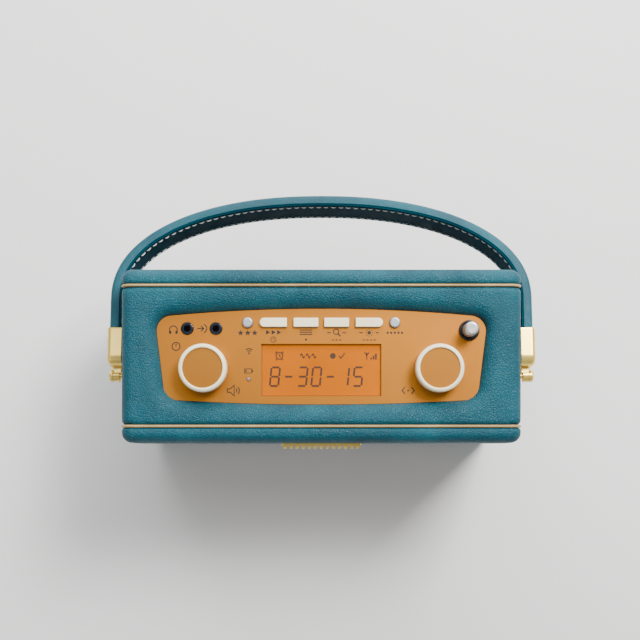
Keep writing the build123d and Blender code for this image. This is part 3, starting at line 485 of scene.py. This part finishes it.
def panel_outline():
    """The control panel's outline, counterclockwise: four sides, each between two corners' middles."""
    (front_x, front_y), (back_x, back_y) = PANEL_FRONT, PANEL_BACK
    front = arc_through((-front_x, front_y), (0, FRONT_BOW), (front_x, front_y), 60)
    back = arc_through((back_x, back_y), (0, BACK_BOW), (-back_x, back_y), 60)
    right = [(front_x, front_y), (back_x, back_y)]
    left = [(-back_x, back_y), (-front_x, front_y)]
    edges = [front, right, back, left]
    radii = [FRONT_CORNER, BACK_CORNER, BACK_CORNER, FRONT_CORNER]
    fillets = []
    for number in range(4):
        before, after = edges[number], edges[(number + 1) % 4]
        corner = Vector(before[-1])
        u = (Vector(before[-6] if len(before) > 6 else before[0]) - corner).normalized()
        w = (Vector(after[5] if len(after) > 6 else after[-1]) - corner).normalized()
        half = u.angle(w) / 2
        radius = radii[number]
        reach = radius / tan(half)
        centre = corner + (u + w).normalized() * radius / sin(half)
        start, end = corner + u * reach, corner + w * reach
        a0 = (start - centre).to_2d()
        sweep = pi - 2 * half
        arc = []
        for step in range(17):
            t = sweep * step / 16
            arc.append((centre.x + a0.x * cos(t) - a0.y * sin(t), centre.y + a0.x * sin(t) + a0.y * cos(t)))
        fillets.append((arc, reach, corner))
    sides = []
    for number in range(4):
        arc_in, reach_in, corner_in = fillets[number - 1]
        arc_out, reach_out, corner_out = fillets[number]
        kept = []
        if len(edges[number]) > 2:
            for p in edges[number]:
                from_in, from_out = (Vector(p) - corner_in).length, (Vector(p) - corner_out).length
                if from_in > reach_in + 0.5 and from_out > reach_out + 0.5:
                    kept.append(p)
        sides.append(arc_in[8:] + kept + arc_out[:9])
    return sides


def resample(points, count):
    """count + 1 points evenly spaced along a line of points."""
    lengths = [0.0]
    for p, q in zip(points, points[1:]):
        lengths.append(lengths[-1] + hypot(q[0] - p[0], q[1] - p[1]))
    result = []
    k = 0
    for step in range(count + 1):
        target = lengths[-1] * step / count
        while k < len(points) - 2 and lengths[k + 1] < target:
            k += 1
        span = lengths[k + 1] - lengths[k] or 1.0
        f = (target - lengths[k]) / span
        p, q = points[k], points[k + 1]
        result.append((p[0] + (q[0] - p[0]) * f, p[1] + (q[1] - p[1]) * f))
    return result


NX, NY = 110, 44
HALF_FLAT = CASE_WIDTH / 2 - CORNER


def outline_ring():
    """The panel's outline and its outward normals, at stations that match the case's top edge."""
    ring = []
    for side, count in zip(panel_outline(), (NX, NY, NX, NY)):
        ring += resample(side, count)[:-1]
    normals = []
    for i in range(len(ring)):
        before, after = ring[i - 2], ring[(i + 2) % len(ring)]
        tangent = Vector((after[0] - before[0], after[1] - before[1])).normalized()
        normals.append((tangent.y, -tangent.x))
    return ring, normals


def top_edge_ring():
    """The edge of the case's top, at as many stations as the panel's outline."""
    corners = [(-HALF_FLAT, -SEAM), (HALF_FLAT, -SEAM), (HALF_FLAT, SEAM), (-HALF_FLAT, SEAM)]
    ring = []
    for number, count in enumerate((NX, NY, NX, NY)):
        ring += resample([corners[number], corners[(number + 1) % 4]], count)[:-1]
    return ring


LIP_WIDTH, LIP_DEPTH, LEATHER = 8.8, 6.2, 1.1


def lip_drop(d):
    """How far the rolled lip lies below the top at a distance d outside the panel's edge."""
    if d >= LIP_WIDTH:
        return 0.0
    return LIP_DEPTH * (1 - sqrt(1 - ((LIP_WIDTH - d) / LIP_WIDTH) ** 2))


def build_wrap():
    """The leather round the case: the top, with a rolled lip round the panel, and a strip round the rest."""
    outline, normals = outline_ring()
    edge = top_edge_ring()
    rings = []
    for d in (0.0, 0.1, 0.3, 0.6, 1.0, 1.5, 2.1, 2.8, 3.6, 4.5, 5.5, 6.6, 7.7, LIP_WIDTH):
        ring = []
        for (x, y), (nx, ny) in zip(outline, normals):
            px, py = x + nx * d, y + ny * d
            ring.append(P(px, py, CASE_TOP - lip_drop(d) - seam_dip(py)))
        rings.append(ring)
    steps = 16
    for step in range(1, steps + 1):
        f = step / steps
        f = f + 0.12 * sin(pi * f) * (1 - f)
        ring = []
        for (x, y), (nx, ny), (ex, ey) in zip(outline, normals, edge):
            sx, sy = x + nx * LIP_WIDTH, y + ny * LIP_WIDTH
            px, py = sx + (ex - sx) * f, sy + (ey - sy) * f
            ring.append(P(px, py, CASE_TOP - seam_dip(py)))
        rings.append(ring)
    points, faces = loft(rings)
    across = [-SEAM + 2 * SEAM * step / NY for step in range(NY + 1)]
    strip = []
    for y in across:
        dip = seam_dip(y)
        loop = case_ring(dip)
        top = CASE_TOP - dip - 0.0005
        top_run = [i for i, (x, z) in enumerate(loop) if z > top and abs(x) < HALF_FLAT - 0.001]
        start = top_run[-1] + 1
        ordered = loop[start:] + loop[: top_run[0]]
        strip.append([P(x, y, z) for x, z in ordered])
    more_points, more_faces = loft(strip, closed=False)
    base = len(points)
    points += more_points
    faces += [tuple(base + i for i in face) for face in more_faces]
    covered = ("cabinet_cover", "recess_lip")
    obj = piece("leather_wrap", points, faces, teal_leather, "case", replaces=covered)
    tidy_mesh(obj, 0.00004)
    apply(obj, "SOLIDIFY", thickness=LEATHER * MM, offset=-1.0)


build_wrap()

# ---------------------------------------------------------------- handle

DROOP = radians(9.0)
pin_low, pin_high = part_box("handle_pins")
PIVOT = Vector((0, (pin_low.y + pin_high.y) / 2, (pin_low.z + pin_high.z) / 2))
ALONG = Vector((0, cos(DROOP), -sin(DROOP)))
ACROSS = Vector((0, sin(DROOP), cos(DROOP)))
STRAP_END, ARCH_START, ARCH_RISE, ARCH_HALF, ARCH_POWER = 14.2, 41.0, 59.0, 115.0, 2.2
DEPTH = 6.2


def swing(u, v, n):
    """A point in the handle's own plane: u to the right, v away from the pivot, n out of the plane."""
    return PIVOT + Vector((u * MM, 0, 0)) + ALONG * (v * MM) + ACROSS * (n * MM)


def arch_point(station, q):
    """A point on the handle's arch, q in from its outside. station is 0 at the left and 1 at the right."""
    s = station * 2 - 1
    side = 1 if s >= 0 else -1
    straight = 0.12
    t = 1 - abs(s)
    if t < straight:
        return side * (ARCH_HALF - q), STRAP_END + (ARCH_START - STRAP_END) * t / straight
    a = pi / 2 * (t - straight) / (1 - straight)
    across = (ARCH_HALF - q) * max(cos(a), 0.0) ** (2 / ARCH_POWER)
    return side * across, ARCH_START + (ARCH_RISE - q) * sin(a) ** (2 / ARCH_POWER)


def arch_sweep(section, count):
    """Rings of a section's (n, q) points along the handle's arch."""
    rings = []
    for i in range(count + 1):
        ring = []
        for n, q in section:
            u, v = arch_point(i / count, q)
            ring.append(swing(u, v, n))
        rings.append(ring)
    return rings


def capped(rings):
    """A loft with its first and last rings closed by a face each."""
    points, faces = loft(rings)
    count = len(rings[0])
    faces.append(tuple(range(count))[::-1])
    faces.append(tuple(range(len(points) - count, len(points))))
    return points, faces


def strap_section(half, top, bottom, top_round, bottom_round, crown):
    """A strap's section as (n, q) points: crowned outside, rounded edges."""
    section = []
    for step in range(13):
        f = step / 12
        n = (half - top_round) * (1 - 2 * f)
        section.append((n, top - crown * sin(pi * f) ** 0.8))
    for cx, cy, start, radius in (
        (-(half - top_round), top + top_round, 180, top_round),
        (-(half - bottom_round), bottom - bottom_round, 90, bottom_round),
        (half - bottom_round, bottom - bottom_round, 0, bottom_round),
        (half - top_round, top + top_round, -90, top_round),
    ):
        for step in range(7):
            a = radians(start + 90 - 90 * step / 6)
            section.append((cx + radius * cos(a), cy + radius * sin(a)))
    clean = []
    for p in section:
        if not clean or hypot(p[0] - clean[-1][0], p[1] - clean[-1][1]) > 0.02:
            clean.append(p)
    if hypot(clean[0][0] - clean[-1][0], clean[0][1] - clean[-1][1]) < 0.02:
        clean.pop()
    return clean


pad = strap_section(half=11.0, top=0.15, bottom=5.3, top_round=2.3, bottom_round=0.5, crown=0.3)
points, faces = capped(arch_sweep(pad, 150))
strap = piece("handle_pad", points, faces, handle_leather, "handle", replaces=("handle_strap",))
tidy_mesh(strap)
inner = strap_section(half=10.3, top=5.25, bottom=6.15, top_round=0.3, bottom_round=0.4, crown=0.0)
points, faces = capped(arch_sweep(inner, 150))
lining = piece(
    "handle_inner_leather",
    points,
    faces,
    lining_leather,
    "handle",
    replaces=("handle_lining",),
)
tidy_mesh(lining)


def stitch(start, end, lift, radius):
    """One stitch: a short thread that rises out of the leather and dips back into it."""
    along = end - start
    direction = along.normalized()
    side = direction.cross(lift).normalized()
    rings = []
    for step in range(7):
        f = step / 6
        size = radius * (0.35 + 0.65 * sin(pi * (0.08 + 0.84 * f)) ** 0.6)
        middle = start + along * f + lift * (radius * (1.2 * sin(pi * f) - 0.35))
        turns = [2 * pi * k / 8 for k in range(8)]
        rings.append([middle + side * size * cos(a) + lift * size * sin(a) for a in turns])
    return capped(rings)


def join(parts):
    """One mesh's points and faces from many."""
    points, faces = [], []
    for part_points, part_faces in parts:
        base = len(points)
        points += part_points
        faces += [tuple(base + i for i in face) for face in part_faces]
    return points, faces


def handle_stitches():
    """Two rows of stitches along the inside of the handle."""
    parts = []
    fine, row = 1400, 7.7
    for n in (-row, row):
        line = [arch_point(i / fine, DEPTH) for i in range(fine + 1)]
        travelled, pitch, length, margin = 0.0, 4.1, 2.9, 13.0
        marks = [0.0]
        for p, q in zip(line, line[1:]):
            travelled += hypot(q[0] - p[0], q[1] - p[1])
            marks.append(travelled)
        count = int((travelled - 2 * margin) / pitch)
        k = 0
        for number in range(count):
            begin = margin + number * pitch + random.uniform(-0.12, 0.12)
            ends = []
            for target in (begin, begin + length + random.uniform(-0.15, 0.15)):
                while marks[k] < target:
                    k += 1
                ends.append(line[k])
            skew = random.uniform(-0.14, 0.14)
            (u0, v0), (u1, v1) = ends
            inward = (swing(-u0, 0, 0) - swing(u0, 0, 0)) + ALONG * ((ARCH_START - v0) * 2 * MM)
            start, end = swing(u0, v0, n - skew), swing(u1, v1, n + skew)
            along = (end - start).normalized()
            lift = (inward - along * inward.dot(along)).normalized()
            parts.append(stitch(start, end, lift, 0.33 * MM))
    return join(parts)


points, faces = handle_stitches()
piece("handle_stitches", points, faces, thread, "handle")

# ---------------------------------------------------------------- knobs


def lathe(x, y, profile, segments=96):
    """A ring of revolution about an upright axis, from a closed profile of (radius, z) points."""
    turns = [2 * pi * k / segments for k in range(segments)]
    rings = [[P(x + r * cos(a), y + r * sin(a), z) for a in turns] for r, z in profile]
    return loft(rings, wrap=True)


def circle(x, y, radius, start=0.0, end=360.0, count=28):
    """Points along a circle or, between two angles in degrees, an arc. A whole circle ends where it starts."""
    angles = [radians(start + (end - start) * i / count) for i in range(count + 1)]
    return [(x + radius * cos(a), y + radius * sin(a)) for a in angles]


CREST, OUTER_ROUND, INNER_ROUND = 10.95, 1.67, 0.5
SKIRT, HUB, BORE = 10.9, 4.7, 4.2


def knob_profile(bottom, top, disc):
    """Half of a knob's ring in section: a skirt with a rounded rim, a web under the disc, and a hub."""
    web_top, web_bottom, hub_foot = disc - 0.9, disc - 1.4, bottom + 1.0
    profile = [(12.55, bottom + 0.5), (CREST + OUTER_ROUND, top - 2.4)]
    profile += circle(CREST, top - OUTER_ROUND, OUTER_ROUND, 0, 90, 8)
    profile += circle(CREST, top - INNER_ROUND, INNER_ROUND, 90, 180, 5)
    profile += [(10.46, web_top), (BORE, web_top), (BORE, hub_foot), (HUB, hub_foot)]
    profile += [(HUB, web_bottom), (SKIRT, web_bottom), (SKIRT, bottom), (12.2, bottom)]
    return profile


for side, body in (("volume", "volume_knob_body"), ("tuning", "tuning_knob_body")):
    low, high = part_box(f"{side}_knob")
    x, y = (low.x + high.x) / 2 / MM, ((low.y + high.y) / 2 - CASE_Y) / MM
    bottom, top = low.z / MM, high.z / MM
    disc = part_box(f"{side}_knob_insert")[1].z / MM
    points, faces = lathe(x, y, knob_profile(bottom, top, disc))
    ring = piece(f"{side}_knob_ring", points, faces, cream, body, replaces=(f"{side}_knob",))
    tidy_mesh(ring)

# ---------------------------------------------------------------- printed marks and display


INK_HEIGHT = 0.05


def ribbon(points, width, z, closed=False):
    """A flat line of the given width through the points (x, y), as thick as the ink."""
    pts = [Vector(p) for p in points]
    count = len(pts)
    left, right = [], []
    for i, p in enumerate(pts):
        before = pts[i - 1] if closed or i > 0 else None
        after = pts[(i + 1) % count] if closed or i < count - 1 else None
        a = (p - before).normalized() if before is not None else (after - p).normalized()
        b = (after - p).normalized() if after is not None else a
        t = a + b
        t = t.normalized() if t.length > 0.1 else a
        normal = Vector((-t.y, t.x))
        stretch = 1 / max(abs(normal.dot(Vector((-a.y, a.x)))), 0.5)
        left.append(p + normal * width / 2 * stretch)
        right.append(p - normal * width / 2 * stretch)
    rings = []
    for a, b in zip(left, right):
        top = z + INK_HEIGHT
        rings.append([P(a.x, a.y, z), P(a.x, a.y, top), P(b.x, b.y, top), P(b.x, b.y, z)])
    if closed:
        return loft(rings, wrap=True)
    return capped(rings)


def polygon(ring, z):
    """A flat plate from a closed outline, as thick as the ink."""
    return capped([[P(x, y, z) for x, y in ring], [P(x, y, z + INK_HEIGHT) for x, y in ring]])


def dot(x, y, radius, z):
    return polygon(circle(x, y, radius, count=20)[:-1], z)


def shifted(points, x, y):
    return [(x + px, y + py) for px, py in points]


def panel_marks():
    """The pictograms printed on the panel, in place of words."""
    z, w = PANEL_TOP - 0.01, 0.56
    marks = []

    def line(points, width=w, closed=False):
        marks.append(ribbon(points, width, z, closed=closed))

    def ring(x, y, radius, width=w):
        line(circle(x, y, radius)[:-1], width, True)

    def dashes(x, y, count, pitch, length):
        for k in range(count):
            middle = x + (k - (count - 1) / 2) * pitch
            line([(middle - length / 2, y), (middle + length / 2, y)])

    # power
    ring(-76.4, 5.2, 2.1)
    line([(-76.4, 5.2), (-76.4, 6.6)])
    # headphones
    line(circle(-77.8, 14.0, 2.0, 0, 180))
    for side in (-1, 1):
        line([(-77.8 + side * 2.0, 14.1), (-77.8 + side * 2.0, 12.0)])
        line([(-77.8 + side * 1.5, 13.4), (-77.8 + side * 1.5, 11.8)], 0.9)
    # an arrow into a socket
    line([(-65.2, 14.6), (-62.0, 14.6)])
    line([(-63.3, 16.0), (-61.8, 14.6), (-63.3, 13.2)])
    line(circle(-62.4, 14.6, 2.2, -75, 75, 12))
    # loudspeaker by the volume knob
    funnel = [(-49.4, -17.1), (-47.9, -17.1), (-45.8, -15.2), (-45.8, -20.8), (-47.9, -18.9), (-49.4, -18.9)]
    line(funnel, w, True)
    for r in (1.5, 2.8):
        line(circle(-45.9, -18.0, r, -42, 42, 12))
    # selector by the tuning knob
    for side in (-1, 1):
        line([(45.7 + side * 1.7, -16.2), (45.7 + side * 3.2, -18.0), (45.7 + side * 1.7, -19.8)])
    marks.append(dot(45.7, -18.0, 0.5, z))
    # signal mark, and a battery over the lamp
    marks.append(dot(-38.0, 1.6, 0.5, z))
    for r in (1.3, 2.4):
        line(circle(-38.0, 1.6, r, 45, 135, 10))
    line([(-40.4, -6.6), (-36.6, -6.6), (-36.6, -8.8), (-40.4, -8.8)], 0.4, True)
    line([(-36.1, -7.2), (-36.1, -8.2)], 0.6)
    line([(-39.6, -7.1), (-39.6, -8.3)], 0.7)
    # three stars
    star = []
    for k in range(10):
        reach = 1.7 * (1 if k % 2 == 0 else 0.45)
        star.append((reach * sin(pi * k / 5), reach * cos(pi * k / 5)))
    for k in (-1, 0, 1):
        marks.append(polygon(shifted(star[::-1], -38.7 + 3.7 * k, 12.3), z))
    # a row of triangles over a clock
    for k in (-1, 0, 1):
        marks.append(polygon(shifted([(-0.95, -1.25), (1.25, 0), (-0.95, 1.25)], -25.2 + 2.9 * k, 12.6), z))
    ring(-25.2, 8.8, 1.4, 0.4)
    line([(-25.2, 9.7), (-25.2, 8.8), (-24.5, 8.4)], 0.36)
    # a list over a dot
    for k in range(3):
        line([(-11.4, 13.8 - 1.15 * k), (-4.7, 13.8 - 1.15 * k)])
    marks.append(dot(-8.05, 8.8, 0.6, z))
    # a magnifier between dashes
    ring(7.8, 12.9, 1.4, 0.5)
    line([(8.8, 11.9), (10.1, 10.5)], 0.7)
    for side in (-1, 1):
        dashes(8.05 + side * 4.0, 12.4, 1, 1.0, 1.8)
    dashes(8.05, 8.6, 3, 1.9, 1.2)
    # a sun between dashes
    marks.append(dot(25.2, 12.4, 0.95, z))
    for k in range(8):
        a = 2 * pi * k / 8
        line(shifted([(1.4 * cos(a), 1.4 * sin(a)), (2.1 * cos(a), 2.1 * sin(a))], 25.2, 12.4), 0.4)
    for side in (-1, 1):
        dashes(25.2 + side * 4.3, 12.4, 1, 1.0, 1.8)
    dashes(25.2, 8.6, 4, 1.9, 1.2)
    # a row of dots
    for k in range(5):
        marks.append(dot(38.7 + 1.9 * (k - 2), 12.4, 0.62, z))
    return join(marks)


points, faces = panel_marks()
piece("panel_marks", points, faces, ink, "case", smooth=False)

SEGMENTS = {
    "0": "abcdef",
    "1": "bc",
    "3": "abgcd",
    "5": "afgcd",
    "8": "abcdefg",
    "-": "g",
}


def display_marks():
    """The display's digits and small symbols."""
    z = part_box("display_module")[1].z / MM - 0.01
    w, slant = 1.05, 0.10
    parts = []
    base, tall, wide, pitch = -15.55, 9.8, 4.5, 7.3
    first = -27.2

    def slanted(x0, points):
        return [(x0 + px + slant * py, base + py) for px, py in points]

    for number, digit in enumerate("8-30-15"):
        x0 = first + number * pitch
        g = 0.35
        lines = {
            "a": [(g, tall), (wide - g, tall)],
            "b": [(wide, tall - g), (wide, tall / 2 + g)],
            "c": [(wide, tall / 2 - g), (wide, g)],
            "d": [(g, 0), (wide - g, 0)],
            "e": [(0, g), (0, tall / 2 - g)],
            "f": [(0, tall / 2 + g), (0, tall - g)],
            "g": [(g, tall / 2), (wide - g, tall / 2)],
        }
        for key in SEGMENTS[digit]:
            parts.append(ribbon(slanted(x0, lines[key]), w, z))
    top, clock, mast = 0.3, -22.1, 24.0
    # alarm clock
    parts.append(ribbon(circle(clock, top, 1.75)[:-1], 0.62, z, closed=True))
    parts.append(ribbon([(clock, top + 0.9), (clock, top), (clock + 0.7, top - 0.5)], 0.64, z))
    for side in (-1, 1):
        parts.append(ribbon([(clock + side * 1.2, top + 2.3), (clock + side * 2.2, top + 1.4)], 0.64, z))
        parts.append(ribbon([(clock + side * 1.2, top - 1.5), (clock + side * 1.8, top - 2.2)], 0.62, z))
    # three waves in place of lettering
    for k in range(3):
        wave = [(-11.0 + 3.0 * k + 2.2 * i / 10, top + 1.1 * sin(2 * pi * i / 10)) for i in range(11)]
        parts.append(ribbon(wave, 0.62, z))
    # full round mark and tick
    parts.append(dot(6.1, top, 1.55, z))
    parts.append(ribbon([(9.3, top), (10.3, top - 1.2), (12.4, top + 1.5)], 0.64, z))
    # aerial and bars
    parts.append(ribbon([(mast, top + 1.9), (mast, top - 1.9)], 0.58, z))
    parts.append(ribbon([(mast - 1.3, top + 1.9), (mast, top + 0.4), (mast + 1.3, top + 1.9)], 0.58, z))
    for k in range(3):
        parts.append(ribbon([(26.3 + 1.25 * k, top - 1.9), (26.3 + 1.25 * k, top - 0.9 + 1.1 * k)], 0.9, z))
    return join(parts)


points, faces = display_marks()
piece("display_marks", points, faces, segment_ink, "case", smooth=False)

# ---------------------------------------------------------------- floor, lights, camera


def area_light(name, place, aim, size, power, colour=(1, 1, 1)):
    """A rectangular lamp at a place, turned to a point, in metres."""
    data = bpy.data.lights.new(name, "AREA")
    data.shape = "RECTANGLE"
    data.size, data.size_y = size
    data.energy = power
    data.color = colour
    lamp_object = bpy.data.objects.new(name, data)
    lamp_object.location = place
    lamp_object.rotation_euler = (Vector(aim) - Vector(place)).to_track_quat("-Z", "Y").to_euler()
    bpy.context.scene.collection.objects.link(lamp_object)


floor_mesh = bpy.data.meshes.new("floor")
FLOOR_HALF, FLOOR_Z = 3, -0.0002
corners = [(x * FLOOR_HALF, y * FLOOR_HALF, FLOOR_Z) for x, y in ((-1, -1), (1, -1), (1, 1), (-1, 1))]
floor_mesh.from_pydata(corners, [], [(0, 1, 2, 3)])
floor = bpy.data.objects.new("floor", floor_mesh)
pale = paint("floor", (0.90, 0.90, 0.90), (0.93, 0.93, 0.93), 3.0, (0.7, 0.8), 50.0, 0.0)
floor_mesh.materials.append(pale)
bpy.context.scene.collection.objects.link(floor)

world = bpy.data.worlds.new("studio")
world.use_nodes = True
world.node_tree.nodes["Background"].inputs[0].default_value = (1.0, 1.0, 1.0, 1.0)
world.node_tree.nodes["Background"].inputs[1].default_value = 0.32
bpy.context.scene.world = world

area_light("key", (0.50, 0.60, 1.05), (0, -0.02, 0.10), (0.45, 0.45), 26.0, (1.0, 0.985, 0.96))
area_light("back", (-0.05, 1.0, 0.60), (0, 0, 0.11), (1.2, 0.35), 15.0)
area_light("card", (0, 0.42, 1.30), (0, 0.10, 0.10), (1.3, 0.45), 4.5)
area_light("fill", (-0.8, -0.6, 0.8), (0, 0, 0.10), (0.9, 0.9), 2.0)

# The camera looks straight down, and its shifted lens puts the radio where the photograph has it.
CAMERA_Y, CAMERA_HEIGHT = -41.4, 725
LENS_SHIFT = (-0.00203125, 0.1796875)
camera_data = bpy.data.cameras.new("camera")
camera = bpy.data.objects.new("camera", camera_data)
camera_data.sensor_width = 36.0
camera_data.lens = 64.7
camera_data.shift_x, camera_data.shift_y = LENS_SHIFT
camera.location = P(0, CAMERA_Y, CAMERA_HEIGHT)
camera.rotation_euler = (0, 0, 0)
bpy.context.scene.collection.objects.link(camera)
bpy.context.scene.camera = camera
